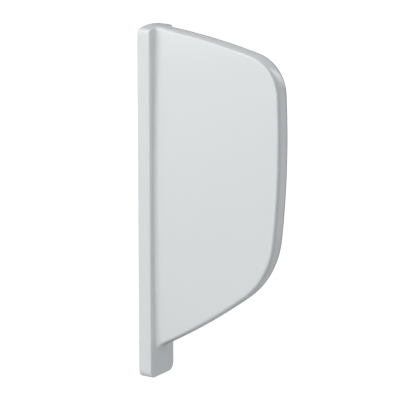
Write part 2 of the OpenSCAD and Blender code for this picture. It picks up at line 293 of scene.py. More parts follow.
@dataclass
class ChinaBody:
    """The slip-cast body: flange, pillow-shaped panel, hollow inside, webs and the lock bolt's pocket."""

    height: float = 700.0
    flange_width: float = 82.0
    flange_depth: float = 28.0
    flange_edge: float = 3.0
    bottom_corner: float = 16.0
    shoulder_width: float = 17.0
    shoulder_height: float = 7.0
    crown_height: float = 1.7
    top_drop: float = 0.7
    panel_reach: float = 304.5
    top_slope: float = 4.1
    top_radius: float = 1400.0
    upper_corner: float = 80.0
    front_radius: float = 1715.0
    front_rise: float = 495.0
    lower_corner: float = 180.0
    bottom_radius: float = 1475.0
    bottom_slope: float = 27.5
    bottom_rise: float = 43.5
    rim_top: float = 17.5
    rim_bottom: float = 19.5
    pillow: float = 6.3
    pillow_up: float = 2.2
    pillow_out: float = 1.2
    rim_depth_top: float = 4.5
    rim_depth_bottom: float = 12.0
    rim_fullness: float = 4.0
    root_fillet: float = 5.5
    root_reach: float = 9.0
    under_share: float = 0.6
    turn_reach: float = 45.0
    least_rise: float = 0.5
    panel_wall: float = 9.0
    rim_wall: float = 13.0
    flange_wall: float = 10.0
    front_wall: float = 8.0
    bottom_wall: float = 16.0
    hollow_corner: float = 6.0
    back_edge: float = 0.6
    mouth_edge: float = 2.0
    web_depth: float = 12.0
    web_height: float = 22.0
    web_levels: tuple[float, float] = (250.0, -11.0)
    web_flare: float = 4.0
    web_fullness: float = 7.0
    web_gap: float = 0.04
    bolt_x: float = 12.0
    pocket_radius: float = 7.6
    pocket_depth: float = 10.0
    bore_radius: float = 5.1
    pocket_edge: float = 0.5
    bore_edge: float = 0.3
    # Shade painted into the glaze: along the rim's corners, more on the far one, and a shadow under the panel
    shade_mark: str = "painted_shade"
    shade_shown: float = 0.38
    shade_far: float = 0.7
    shade_turn: float = 0.48
    shade_spread: float = 0.45
    nook_from: float = 0.35
    nook_ramp: float = 0.3
    nook_reach: float = 140.0
    fine: Fineness = field(default_factory=Fineness)

    def __post_init__(self) -> None:
        """Works out the outline's circles, each tangent to the next."""
        self.base = -self.height / 2.0
        self.top = self.height / 2.0
        self.half = self.flange_width / 2.0
        self.mouth = self.flange_depth - self.front_wall
        self.root_end = self.flange_depth + self.root_reach
        slope, under = math.radians(self.top_slope), math.radians(self.bottom_slope)
        start = np.array([self.flange_depth, self.top - self.top_drop])
        foot = np.array([0.0, self.base + self.bottom_rise])
        self.upper_edge = Circle(start - self.top_radius * np.array([math.sin(slope), math.cos(slope)]),
                                 self.top_radius)
        self.lower_edge = Circle(foot + self.bottom_radius * np.array([-math.sin(under), math.cos(under)]),
                                 self.bottom_radius)
        self.front = Circle(np.array([self.panel_reach - self.front_radius, self.base + self.front_rise]),
                            self.front_radius)
        self.high_turn = Circle(self.upper_edge.meeting(self.front, self.upper_corner), self.upper_corner)
        self.low_turn = Circle(self.front.meeting(self.lower_edge, self.lower_corner), self.lower_corner)
        self.glazed = Skin(0.0, 0.0, self.flange_depth, self.root_reach, self.root_fillet)
        self.inner = Skin(self.panel_wall, self.rim_wall, self.mouth, self.mouth_edge, self.mouth_edge)

    # The outline

    def _edge_points(self, edge: Circle, x: Array, up: float) -> Array:
        """Points of an upper or lower edge, with their normals.

        They lie on the edge's circle. Those of the lower edge drop by a share of the root next to the flange.

        Args:
            edge: the edge's circle.
            x: distances from the wall.
            up: 1 for the circle's upper side and -1 for its lower.

        Returns:
            Points and normals, of shape (n, 2, 2).
        """
        u = x - edge.centre[0]
        z = edge.centre[1] + up * np.sqrt(edge.radius**2 - u * u)
        point = np.stack([x, z], axis=-1)
        normal = unit(point - edge.centre)
        if up < 0.0:
            fall = self.under_share * self._root(x, self.glazed)
            point = point - np.stack([np.zeros_like(x), fall], axis=-1)
        return np.stack([point, normal], axis=-2)

    def _half_outline(self, x: Array, edge: Circle, turn: Circle, up: float) -> Array:
        """Half of the outline: the columns x, along the edge, round its corner and to the furthest point.

        Args:
            x: distances from the wall of the first points.
            edge: the edge's circle.
            turn: the corner's circle.
            up: 1 for the upper half and -1 for the lower.

        Returns:
            Points and normals, of shape (n, 2, 2).
        """
        columns = self._edge_points(edge, x, up)
        normal = columns[-1, 1]
        begin = math.atan2(normal[1], normal[0])
        leave, arrive = edge.towards(turn), self.front.towards(turn)
        f = self.fine
        along = mix(begin, leave, np.arange(1, f.edge + 1) / f.edge)
        round_ = mix(leave, arrive, np.arange(1, f.corner + 1) / f.corner)
        on = mix(arrive, 0.0, np.arange(1, f.front) / f.front)
        return np.concatenate([columns, edge.at(along), turn.at(round_), self.front.at(on)])

    def _root(self, x: Array, skin: Skin) -> Array:
        """How far the panel's hollow root stands out: a quarter ellipse that ends tangent to the flange."""
        u = np.clip((skin.root_start - x) / skin.root_reach + 1.0, 0.0, 1.0)
        return skin.root_depth * (1.0 - np.sqrt(1.0 - u * u))

    # The panel

    def _inside(self, edge: Array, depth: Array | float) -> Array:
        """Points at a depth inside the outline.

        Next to the flange they lie straight above or below the outline's point. From the root's end the way
        in turns evenly until it follows the outline's normal.

        Args:
            edge: points and normals of the outline, of shape (..., 2, 2).
            depth: how far in each point lies.

        Returns:
            Points of shape (..., 2).
        """
        point, normal = edge[..., 0, :], edge[..., 1, :]
        depth = np.asarray(depth)[..., None]
        up = normal[..., 1:]
        rise = np.concatenate([np.zeros_like(up), np.sign(up) / np.maximum(np.abs(up), self.least_rise)],
                              axis=-1)
        share = np.clip((point[..., :1] - self.root_end) / self.turn_reach, 0.0, 1.0)
        return point - depth * mix(rise, normal, share)

    def _half_thickness(self, point: Array, low: Array, high: Array, skin: Skin) -> Array:
        """Half the panel's thickness: the rim's, which grows downwards, and a pillow that fades to the edges.

        The pillow is 1 less the distance from the middle of the column to a power, times 1 less the distance
        from the wall to a power. The root is added next to the flange.

        Args:
            point: points of the X-Z plane.
            low: the outline's lower height at each.
            high: its upper height.
            skin: which surface.

        Returns:
            The half thickness at each point.
        """
        x, z = point[..., 0], point[..., 1]
        t = np.minimum(np.abs(2.0 * (z - low) / (high - low) - 1.0), 1.0)
        rim = mix(self.rim_bottom, self.rim_top, (z - self.base) / self.height)
        out = np.clip(1.0 - (np.maximum(x, 0.0) / self.panel_reach) ** self.pillow_out, 0.0, 1.0)
        return rim + self.pillow * (1.0 - t**self.pillow_up) * out - skin.side + self._root(x, skin)

    def _rim_depth(self, edge: Array) -> Array:
        """How far the rim's rounding reaches in at the outline: it grows downwards with the square."""
        down = (self.top - edge[..., 0, 1]) / self.height
        return mix(self.rim_depth_top, self.rim_depth_bottom, down**2)

    def _rim(self, t: Array) -> tuple[Array, Array]:
        """The rim's rounding from the panel's side (t = 0) to the middle of its edge (t = 1).

        The share of its depth is 1 less a sine, and that of the half thickness is a cosine to the power of
        2 / fullness, so that the corners are round and the edge between them is nearly flat.
        """
        turn = t * np.pi / 2.0
        return 1.0 - np.sin(turn), np.clip(np.cos(turn), 0.0, 1.0) ** (2.0 / self.rim_fullness)

    def _panel_loops(self, low: Array, high: Array, skin: Skin) -> Array:
        """Closed loops of one of the panel's surfaces, one for each pair of outline points.

        Args:
            low: points and normals of the lower half of the outline, of shape (n, 2, 2).
            high: those of the upper half.
            skin: which surface.

        Returns:
            Points of shape (n, points round the loop, 3).
        """
        low_z, high_z = low[:, 0, 1:2], high[:, 0, 1:2]
        s = np.linspace(0.0, 1.0, self.fine.chord + 1)[None, :, None]
        foot = self._inside(low, self._rim_depth(low) + skin.rim)[:, None]
        head = self._inside(high, self._rim_depth(high) + skin.rim)[:, None]
        chord = mix(foot, head, s)
        side = standing(chord, self._half_thickness(chord, low_z, high_z, skin))
        runs = []
        depth, share = self._rim(np.arange(1, self.fine.rim + 1) / self.fine.rim)
        for edge in (high, low):
            spread = np.broadcast_to(edge[:, None], (len(edge), len(depth), 2, 2))
            place = self._inside(spread, depth * self._rim_depth(spread) + skin.rim)
            half = self._half_thickness(place, low_z, high_z, skin) * share
            runs.append(standing(place, half))
        return self._loops(side, runs[0], runs[1])

    @staticmethod
    def _loops(side: Array, over: Array, under: Array) -> Array:
        """Closed loops from runs for +Y only: up the side, over the top, down the far side and back under.

        Args:
            side: points from the foot of the side to its head, of shape (n, points, 3).
            over: points from there to the middle of the top.
            under: points from the foot to the middle of the bottom.

        Returns:
            Points of shape (n, points round the loop, 3).
        """
        return np.concatenate([
            side, over, mirrored(over[:, -2::-1]), mirrored(side[:, ::-1]), mirrored(under), under[:, -2::-1],
        ], axis=1)

    def _tip_loop(self, skin: Skin) -> Array:
        """The last loop, drawn together on the front edge at the panel's greatest reach.

        Args:
            skin: which surface.

        Returns:
            Points of shape (1, points round the loop, 3).
        """
        edge = self.front.at(np.array([0.0]))
        z = np.array([[edge[0, 0, 1]]])
        depth, share = self._rim(np.arange(0, self.fine.rim + 1) / self.fine.rim)
        spread = np.broadcast_to(edge[:, None], (1, len(depth), 2, 2))
        place = self._inside(spread, depth * self._rim_depth(spread) + skin.rim)
        rim = mix(self.rim_bottom, self.rim_top, (z - self.base) / self.height) - skin.side
        run = standing(place, rim * share)
        side = np.repeat(run[:, :1], self.fine.chord + 1, axis=1)
        return self._loops(side, run[:, 1:], run[:, 1:])

    # The flange

    def _drawn_in(self, x: Array, y: Array, z: Array, inset: Array) -> Array:
        """Flange points drawn in, apart from where the panel's top runs into the flange's top.

        The width shrinks in proportion, the bottom towards its corners' level, and the top straight down.

        Args:
            x: distances from the wall.
            y: distances from the middle.
            z: heights.
            inset: how far each point is drawn in.

        Returns:
            Points of shape (..., 3).
        """
        corner = self.base + self.bottom_corner
        keep = np.clip((np.abs(y) - self.root_fillet - self.rim_top) / self.root_fillet, 0.0, 1.0)
        low = mix(z, corner, inset / self.bottom_corner)
        height = np.where(z < corner - HAIR, low, np.where(z > 0.0, z - inset * keep, z))
        return np.stack(np.broadcast_arrays(x, y * (1.0 - inset / self.half), height), axis=-1)

    def _corner(self, half: Array | float, wide: float, tall: float) -> tuple[Array, Array]:
        """Half of a loop's top or bottom: a quarter ellipse, and the flat from there to the middle.

        Args:
            half: half the loop's width.
            wide: the ellipse's reach across.
            tall: its height.

        Returns:
            The distances from the middle, and how far each point lies short of the flat's level.
        """
        f = self.fine
        turn = quarter(f.arc)[1:]
        back = 1.0 - np.arange(1, f.flat + 1) / f.flat
        y = np.concatenate([half - wide * (1.0 - np.cos(turn)), (half - wide) * back], axis=-1)
        return y, np.concatenate([tall * (1.0 - np.sin(turn)), np.zeros(f.flat)])

    def _flange_loops(self, x: Array, inset: Array) -> Array:
        """Closed loops of the flange: straight sides, round shoulders, a crowned top and round corners.

        Args:
            x: distances from the wall.
            inset: how far each loop is drawn in.

        Returns:
            Points of shape (loops, points round the loop, 3).
        """
        shoulder = self.top - self.crown_height
        side_z = mix(self.base + self.bottom_corner, shoulder - self.shoulder_height,
                     np.linspace(0.0, 1.0, self.fine.chord + 1))
        over_y, short = self._corner(self.half, self.shoulder_width, self.shoulder_height)
        crown = 1.0 - np.minimum(over_y / (self.half - self.shoulder_width), 1.0) ** 2
        under_y, rise = self._corner(self.half, self.bottom_corner, self.bottom_corner)
        x, inset = x[:, None], inset[:, None]
        ones = np.ones_like(x)
        runs = ((self.half, side_z), (over_y, shoulder - short + self.crown_height * crown),
                (under_y, self.base + rise))
        return self._loops(*(self._drawn_in(x, ones * y, ones * z, inset) for y, z in runs))

    def _bay_loops(self, x: Array, inset: Array) -> Array:
        """Closed loops of the hollow inside the flange: a rectangle with round corners.

        Args:
            x: distances from the wall.
            inset: how far each loop is drawn in.

        Returns:
            Points of shape (loops, points round the loop, 3).
        """
        w = (self.half - self.flange_wall - inset)[:, None]
        low = (self.base + self.bottom_wall + inset)[:, None]
        high = (self.top - self.crown_height - self.shoulder_height - inset)[:, None]
        r = self.hollow_corner
        s = np.linspace(0.0, 1.0, self.fine.chord + 1)
        y, rise = self._corner(w, r, r)
        runs = ((w, mix(low + r, high - r, s)), (y, high - rise), (y, low + rise))
        return self._loops(*(np.stack(np.broadcast_arrays(x[:, None], *run), axis=-1) for run in runs))

    # Whole surfaces

    def _panel(self, columns: Array, skin: Skin) -> Array:
        """All loops of one of the panel's surfaces, out to the tip.

        Args:
            columns: distances from the wall of the first loops.
            skin: which surface.

        Returns:
            Points of shape (loops, points round the loop, 3).
        """
        low = self._half_outline(columns, self.lower_edge, self.low_turn, -1.0)
        high = self._half_outline(columns, self.upper_edge, self.high_turn, 1.0)
        return np.concatenate([self._panel_loops(low, high, skin), self._tip_loop(skin)])

    def _outer(self) -> tuple[Array, int]:
        """The glazed surface, from the back to the tip.

        Both edges of the flange are quarter circles. Its front face goes over into the panel's root.

        Returns:
            The loops, and how many of them round the back edge.
        """
        f = self.fine
        turn, back = quarter(f.fillet), quarter(f.small)[::-1]
        e, b = self.flange_edge, self.back_edge
        x = np.concatenate([b * (1.0 - np.sin(back)), f.side, self.flange_depth - e * (1.0 - np.sin(turn))])
        inset = np.concatenate([b * (1.0 - np.cos(back)), np.zeros(len(f.side)), e * (1.0 - np.cos(turn))])
        flange = self._flange_loops(x, inset)
        panel = self._panel(self.flange_depth + self.root_reach * (1.0 - np.cos(turn)), self.glazed)
        face = mix(flange[-1:], panel[:1], np.array(f.face)[:, None, None])
        return np.concatenate([flange, face, panel]), len(back)

    def _hollow(self) -> tuple[Array, int]:
        """The inner surface, from the back to its tip.

        The back edge and the mouth, where the flange's hollow goes over into the panel's, are quarter
        circles.

        Returns:
            The loops, and how many of them round the back edge.
        """
        f = self.fine
        turn = quarter(f.small)
        e, b = self.mouth_edge, self.back_edge
        back = turn[:0:-1]
        x = np.concatenate([b * (1.0 - np.sin(back)), [b], f.bay, self.mouth - e * (1.0 - np.sin(turn))])
        inset = np.concatenate([-b * (1.0 - np.cos(back)), np.zeros(1 + len(f.bay)),
                                e * (1.0 - np.cos(turn))])
        columns = np.concatenate([self.mouth + e * (1.0 - np.cos(turn)), [self.flange_depth, self.root_end]])
        return np.concatenate([self._bay_loops(x, inset), self._panel(columns, self.inner)]), len(back)

    def _pierced(self, surface: Surface, loops: Array, first: int, profile: Sequence[Point], slot: int,
                 angle: Array | None = None) -> tuple[Array, Array]:
        """Cuts a round hole into the flat underside of some loops and carries its wall on.

        The faces between the given rows are left out across the flat. In their place a grid runs from that
        patch's border to a circle round the bolt's axis, point by point at the border's own angles, and on
        through the profile's circles.

        Args:
            surface: takes the new grid.
            loops: the loops whose underside is cut.
            first: the first loop of the patch.
            profile: radius and height of each further circle, the first in the flat's own plane.
            slot: the material of the new faces.
            angle: the angles of the circles' points, or the border's own.

        Returns:
            Which faces of the loops' own grid are kept, and the angles.
        """
        f = self.fine
        last = first + f.patch
        start = 2 * (f.chord + 1) + (2 * f.rim - 1) + f.arc - 1
        stop = start + 2 * f.flat
        keep = np.ones((len(loops) - 1, loops.shape[1]), dtype=bool)
        keep[first:last, start:stop] = False
        patch = loops[first:last + 1, start:stop + 1]
        border = np.concatenate([patch[0, :-1], patch[:-1, -1], patch[-1, :0:-1], patch[:0:-1, 0]])
        across = border[:, :2] - np.array([self.bolt_x, 0.0])
        angle = np.arctan2(across[:, 1], across[:, 0]) if angle is None else angle
        rings = [np.stack([self.bolt_x + r * np.cos(angle), r * np.sin(angle), np.full(len(angle), z)],
                          axis=-1) for r, z in profile]
        spread = [mix(border, rings[0], s) for s in f.patch_rings]
        surface.add_grid(np.stack(spread + rings), closed=True, slot=slot)
        return keep, angle

    def _web(self, level: float) -> Array:
        """One web across the open back: a rounded bar along Y that flares into the flange's side walls.

        The section is a superellipse, squared at the back to lie on the wall plane. Near each end its size
        grows by a quarter circle, as a cast fillet does.

        Args:
            level: the height of the web's underside.

        Returns:
            Points of shape (stations along Y, points round the section, 3).
        """
        f = self.fine
        reach = self.half - self.flange_wall / 2.0
        inner = self.half - self.flange_wall
        straight = inner - self.web_flare
        turn = self.web_flare * (1.0 - np.cos(quarter(f.web_fillet)))
        y = np.concatenate([[-reach], -inner + turn,
                            np.linspace(-straight, straight, f.web_fillet + 1)[1:-1],
                            inner - turn[::-1], [reach]])
        gap = np.clip(self.web_flare - (inner - np.abs(y)), 0.0, self.web_flare)
        flare = self.web_flare - np.sqrt(self.web_flare**2 - gap**2)
        angle = ring_angles(f.web_ring)
        across, up = (np.sign(v) * np.abs(v) ** (2.0 / self.web_fullness)
                      for v in (np.cos(angle), np.sin(angle)))
        depth = (self.web_depth + flare)[:, None] / 2.0
        tall = (self.web_height / 2.0 + flare)[:, None]
        x = self.web_gap + depth * (1.0 + across) * (1.0 - self.web_gap / self.web_depth)
        z = level + self.web_height / 2.0 + tall * up
        rings = np.stack([x, np.broadcast_to(y[:, None], x.shape), z], axis=-1)
        middle = rings.mean(axis=1, keepdims=True)
        ends = [np.repeat(middle[i:i + 1], len(angle), axis=1) for i in (0, len(y) - 1)]
        return np.concatenate([ends[0], rings, ends[1]])

    def shape(self) -> bpy.types.Object:
        """Makes the body's mesh: glazed outside in slot 0, bare fired clay behind and inside in slot 1.

        Returns:
            The body's object.
        """
        surface = Surface()
        outer, back_rows = self._outer()
        hollow, lip_rows = self._hollow()
        pocket, floor = self.base + self.pocket_depth, self.base + self.bottom_wall
        e = self.pocket_edge
        edge = [(self.pocket_radius + e * (1.0 - math.sin(a)), self.base + e * (1.0 - math.cos(a)))
                for a in quarter(self.fine.small)]
        b = self.bore_edge
        profile = edge + [(self.pocket_radius, pocket - b), (self.pocket_radius - b, pocket),
                          (self.bore_radius + b, pocket), (self.bore_radius, pocket + b),
                          (self.bore_radius, floor)]
        keep, angle = self._pierced(surface, outer, back_rows, profile, 0)
        surface.add_grid(outer, closed=True, slot=0, keep=keep)
        keep, _ = self._pierced(surface, hollow, lip_rows, [(self.bore_radius, floor)], 1, angle)
        surface.add_grid(hollow, closed=True, slot=1, keep=keep)
        back = np.stack([outer[0], mix(outer[0], hollow[0], 0.5), hollow[0]])
        surface.add_grid(back, closed=True, slot=1)
        for level in self.web_levels:
            surface.add_grid(self._web(level), closed=True, slot=1)
        body = surface.make("china_body")
        # Marks the points with painted shade along the rim's corners and a painted shadow under the panel
        self._painted_shade(body.data)
        return body

    def build(self) -> list[bpy.types.Object]:
        """Makes the body and dresses it: glaze outside, and bare clay behind and inside."""
        return [stand_for(self.shape(), "china_screen", Finish.CHINA, Finish.CLAY)]

    def _painted_shade(self, mesh: bpy.types.Mesh) -> None:
        """Marks where shade is painted into the glaze's colour: along both corners of the rim, and under the
        panel.

        A corner's painted shade is greatest where the surface is turned half way from the panel's side to
        its edge. It falls with the square of the difference to 0 on the side and on the edge, stays off the
        root and the flange, and is stronger on the far corner than on the shown one. The nook's painted
        shadow is full where the panel faces down next to the flange, and fades in a straight line along the
        edge.

        Args:
            mesh: the body's mesh, which gets the mark on its points.
        """
        count = len(mesh.vertices)
        normal, point = np.empty(count * 3), np.empty(count * 3)
        mesh.vertices.foreach_get("normal", normal)
        mesh.vertices.foreach_get("co", point)
        _, across, up = normal.reshape(-1, 3).T
        out = point.reshape(-1, 3)[:, 0] / MM - self.root_end
        # Painted shade along both corners of the rim, stronger on the far corner
        corner = np.clip(1.0 - ((np.abs(across) - self.shade_turn) / self.shade_spread) ** 2, 0.0, 1.0)
        corner *= np.where(across < 0.0, self.shade_shown, self.shade_far)
        corner *= np.clip(out / self.turn_reach, 0.0, 1.0)
        # Painted shadow in the nook under the panel, next to the flange, where it faces down
        nook = np.clip((-up - self.nook_from) / self.nook_ramp, 0.0, 1.0)
        nook *= np.clip(1.0 - out / self.nook_reach, 0.0, 1.0)
        nook *= np.clip((out + self.root_reach) / (2.0 * self.root_reach), 0.0, 1.0)
        layer = mesh.attributes.new(self.shade_mark, "FLOAT", "POINT")
        layer.data.foreach_set("value", np.maximum(corner, nook).astype(np.float32))


# --- The hidden fittings ------------------------------------------------------------------------------------


@dataclass
class Fastener:
    """Shared sizes of the lock bolt and what is on it, all about one upright axis."""

    axis_x: float = 12.0
    base_z: float = -350.0
    seat_z: float = -342.6
    thread_radius: float = 3.0
    pitch: float = 1.0
    thread_depth: float = 0.5
    flank: float = 2.6
    crest_share: float = 0.25
    flats: float = 10.0
    chamfer_angle: float = 30.0
    sides: int = 72
    hex_sharp: float = 30.0
    round_sharp: float = 40.0

    @property
    def angle(self) -> Array:
        """The angles of the points round the axis."""
        return ring_angles(self.sides)

    def hexagon(self) -> Array:
        """A hexagon about the axis: half its flats over the cosine of the angle off the nearest flat.

        Returns:
            The distance from the axis at each angle.
        """
        sector = np.pi / 3.0
        off = np.mod(self.angle + sector / 2.0, sector) - sector / 2.0
        return (self.flats / 2.0) / np.cos(off)

    def chamfer_drop(self, face: float) -> Array:
        """How far a hexagon's corners fall below a round face of that radius, at the chamfer's angle."""
        return np.maximum(self.hexagon() - face, 0.0) * math.tan(math.radians(self.chamfer_angle))

    def at(self, radius: Array | float, z: Array | float) -> Array:
        """Points all round the bolt's axis, at a radius and a height."""
        radius, angle, z = np.broadcast_arrays(radius, self.angle, z)
        return np.stack([self.axis_x + radius * np.cos(angle), radius * np.sin(angle), z], axis=-1)

    def thread(self, z: Array, crest: float, fade: Array | float) -> Array:
        """The radius of a screw thread: a trapezoid wave that climbs one pitch a turn, flattened by a fade.

        Args:
            z: heights.
            crest: the radius of the thread's crests.
            fade: 1 where the thread has its full depth and 0 where it has run out.

        Returns:
            The radius at each height and angle.
        """
        phase = np.mod(z / self.pitch - self.angle / (2.0 * np.pi), 1.0)
        wave = np.clip(np.abs(phase - 0.5) * self.flank - self.crest_share, 0.0, 1.0)
        return crest - self.thread_depth * wave * fade

    def turned(self, name: str, profile: Sequence[Point]) -> bpy.types.Object:
        """Makes a round piece: its closed profile goes once round the axis.

        Args:
            name: the piece's name.
            profile: radii and heights.

        Returns:
            The piece.
        """
        closed = np.array([*profile, profile[0]], dtype=float)
        surface = Surface()
        surface.add_grid(self.at(closed[:, :1], closed[:, 1:]), closed=True)
        return surface.make(name, self.round_sharp)


@dataclass
class LockBolt(Fastener):
    """Hex bolt that stands on its head in the pocket, threaded from its shank to its tip."""

    head_height: float = 4.0
    length: float = 20.0
    shank: float = 4.0
    run_out: float = 1.2
    point: float = 0.7
    face_share: float = 0.94
    dish_share: float = 0.6
    # The head's rolled upper edge: how far below the seat it starts, turns in, and meets the washer face
    edge_start: float = 0.35
    edge_turn: float = 0.15
    edge_in: float = 0.12
    face_rise: float = 0.1
    neck: float = 0.05
    neck_rise: float = 0.2
    steps: int = 150

    def shape(self) -> bpy.types.Object:
        """Makes the bolt: a chamfered hexagon head with a washer face, a plain shank and a threaded end.

        Returns:
            The bolt.
        """
        hexagon = self.hexagon()
        face = self.flats / 2.0 * self.face_share
        low, tip = self.seat_z - self.head_height, self.seat_z + self.length
        rings = [
            (0.0, low),
            (face * self.dish_share, low),
            (face, low),
            (hexagon, low + self.chamfer_drop(face)),
            (hexagon, self.seat_z - self.edge_start),
            (hexagon - self.edge_in, self.seat_z - self.edge_turn),
            (face, self.seat_z - self.face_rise),
            (face - self.face_rise, self.seat_z),
            (self.thread_radius + self.neck, self.seat_z),
        ]
        z = np.linspace(self.seat_z + self.neck_rise, tip, self.steps)[:, None]
        fade = np.clip((z - self.seat_z - self.shank) / self.run_out, 0.0, 1.0)
        pointed = self.thread_radius - self.point + np.maximum(tip - z, 0.0)
        shaft = self.at(np.minimum(self.thread(z, self.thread_radius, fade), pointed), z)
        surface = Surface()
        head = np.stack([self.at(*ring) for ring in rings])
        surface.add_grid(np.concatenate([head, shaft, self.at(0.0, tip)[None]]), closed=True)
        return surface.make("lock_bolt_threaded", self.hex_sharp)

    def build(self) -> list[bpy.types.Object]:
        """Makes the bolt and dresses it in zinc."""
        return [stand_for(self.shape(), "lock_bolt", Finish.FASTENER)]


@dataclass
class LockNut(Fastener):
    """Hex nut on the bracket's shelf, chamfered on both faces, with its own thread round the bolt's."""

    low_z: float = -329.0
    height: float = 5.0
    clearance: float = 0.05
    face_share: float = 0.95
    sink: float = 0.35
    sink_depth: float = 0.4
    root_depth: float = 0.42
    steps: int = 60

    def shape(self) -> bpy.types.Object:
        """Makes the nut: out over the lower face, up the flats, in over the upper face, down the thread.

        Returns:
            The nut.
        """
        hexagon = self.hexagon()
        face = self.flats / 2.0 * self.face_share
        drop = self.chamfer_drop(face)
        bore = self.thread_radius + self.clearance
        top = self.low_z + self.height
        z = np.linspace(top - self.sink_depth, self.low_z + self.sink_depth, self.steps)[:, None]
        bored = self.at(np.maximum(self.thread(z, bore, 1.0), bore - self.root_depth), z)
        rings = [(bore + self.sink, self.low_z), (face, self.low_z), (hexagon, self.low_z + drop),
                 (hexagon, top - drop), (face, top), (bore + self.sink, top)]
        grid = np.concatenate([np.stack([self.at(*ring) for ring in rings]), bored])
        surface = Surface()
        surface.add_grid(np.concatenate([grid, grid[:1]]), closed=True)
        return surface.make("lock_nut_threaded", self.hex_sharp)

    def build(self) -> list[bpy.types.Object]:
        """Makes the nut and dresses it in zinc."""
        return [stand_for(self.shape(), "lock_nut", Finish.FASTENER)]


@dataclass
class RoundFittings(Fastener):
    """The washer and the bush on the bolt, and the cap that closes the pocket."""

    pocket_z: float = -340.0
    bolt_hole: float = 3.2
    washer_radius: float = 7.0
    washer_thickness: float = 1.6
    washer_edge: float = 0.2
    bush_radius: float = 5.0
    bush_flange: float = 1.0
    bush_top: float = -334.0
    bush_edge: float = 0.25
    cap_radius: float = 7.55
    cap_height: float = 4.0
    cap_wall: float = 1.2
    cap_edge: float = 0.4
    dish_radius: float = 5.6
    dish_depth: float = 0.25
    dish_steps: int = 8
    # The skirt: the height at which it starts to taper, its taper outside and inside, and its inner corner
    taper_from: float = 2.6
    taper: float = 0.25
    inner_taper: float = 0.1
    inner_corner: float = 0.5

    def washer(self) -> bpy.types.Object:
        """Makes the flat washer, its edges rolled over by stamping.

        Returns:
            The washer.
        """
        low, top = self.seat_z, self.seat_z + self.washer_thickness
        corners = [(self.bolt_hole, low), (self.washer_radius, low), (self.washer_radius, top),
                   (self.bolt_hole, top)]
        return self.turned("lock_washer_stamped", softened(corners, self.washer_edge))

    def bush(self) -> bpy.types.Object:
        """Makes the flanged bush, moulded with small radii.

        Returns:
            The bush.
        """
        low = self.pocket_z - self.bush_flange
        corners = [(self.bolt_hole, low), (self.washer_radius, low), (self.washer_radius, self.pocket_z),
                   (self.bush_radius, self.pocket_z), (self.bush_radius, self.bush_top),
                   (self.bolt_hole, self.bush_top)]
        return self.turned("bolt_bush_moulded", softened(corners, self.bush_edge))

    def cap(self) -> bpy.types.Object:
        """Makes the cap: a disc with a shallow dished face and a skirt that thins towards its end.

        The dish is deepest in the middle and falls off with the square of 1 less the square of the radius.

        Returns:
            The cap.
        """
        base, outer = self.base_z, self.cap_radius
        inner, end = outer - self.cap_wall, base + self.cap_height
        dish = [(r, base + self.dish_depth * (1.0 - (r / self.dish_radius) ** 2) ** 2)
                for r in np.linspace(0.0, self.dish_radius, self.dish_steps + 1)]
        edge = rounded((outer, base), (0.0, base), (outer, end), self.cap_edge)
        skirt = [(outer, base + self.taper_from), (outer - self.taper, end), (inner + self.inner_taper, end),
                 (inner, base + self.cap_wall + self.inner_corner),
                 (inner - self.inner_corner, base + self.cap_wall), (0.0, base + self.cap_wall)]
        return self.turned("bolt_cap_moulded", dish + edge + skirt)

    def build(self) -> list[bpy.types.Object]:
        """Makes the three pieces and dresses them in zinc, nylon and white plastic.

        Returns:
            The pieces.
        """
        return [stand_for(self.washer(), "lock_washer", Finish.FASTENER),
                stand_for(self.bush(), "bolt_bush", Finish.NYLON),
                stand_for(self.cap(), "bolt_cap", Finish.CAP)]


@dataclass
class Plates:
    """The pressed steel and rubber pieces, whose solids already have the right shape."""

    nodes: dict[str, bpy.types.Object]
    steel: tuple[str, ...] = ("wall_hanger", "lock_bracket")
    rubber: tuple[str, ...] = ("hanger_sleeve", "bracket_pad")

    def build(self) -> list[bpy.types.Object]:
        """Dresses the solids' own objects in zinc plate and rubber.

        Returns:
            The pieces.
        """
        return [dress(self.nodes[name], finish)
                for names, finish in ((self.steel, Finish.STEEL), (self.rubber, Finish.RUBBER))
                for name in names]


# --- Shader maths -------------------------------------------------------------------------------------------


class Term:
    """A number that a shader works out: arithmetic on terms adds Math nodes to their tree."""

    def __init__(self, tree: bpy.types.NodeTree, socket: bpy.types.NodeSocket) -> None:
        """Wraps an output socket of a tree."""
        self.tree = tree
        self.socket = socket

    def _maths(self, operation: str, *values: Value, clamp: bool = False) -> "Term":
        """Adds one Math node.

        Args:
            operation: what it works out.
            values: numbers and terms, in the order of its inputs.
            clamp: whether the result is kept between 0 and 1.

        Returns:
            The node's result.
        """
        node = self.tree.nodes.new("ShaderNodeMath")
        node.operation = operation
        node.use_clamp = clamp
        for place, value in zip(node.inputs, values):
            if isinstance(value, Term):
                self.tree.links.new(value.socket, place)
            else:
                place.default_value = float(value)
        return Term(self.tree, node.outputs[0])

    def __add__(self, other: Value) -> "Term":
        """Sum."""
        return self._maths("ADD", self, other)

    __radd__ = __add__

    def __mul__(self, other: Value) -> "Term":
        """Product."""
        return self._maths("MULTIPLY", self, other)

    __rmul__ = __mul__

    def __sub__(self, other: Value) -> "Term":
        """Difference."""
        return self._maths("SUBTRACT", self, other)

    def __rsub__(self, other: Value) -> "Term":
        """Difference with the term taken away."""
        return self._maths("SUBTRACT", other, self)

    def __pow__(self, other: Value) -> "Term":
        """Power."""
        return self._maths("POWER", self, other)

    def above(self, low: float, high: float) -> "Term":
        """0 below low and 1 above high, with a straight ramp between."""
        return self._maths("MULTIPLY", self - low, 1.0 / (high - low), clamp=True)


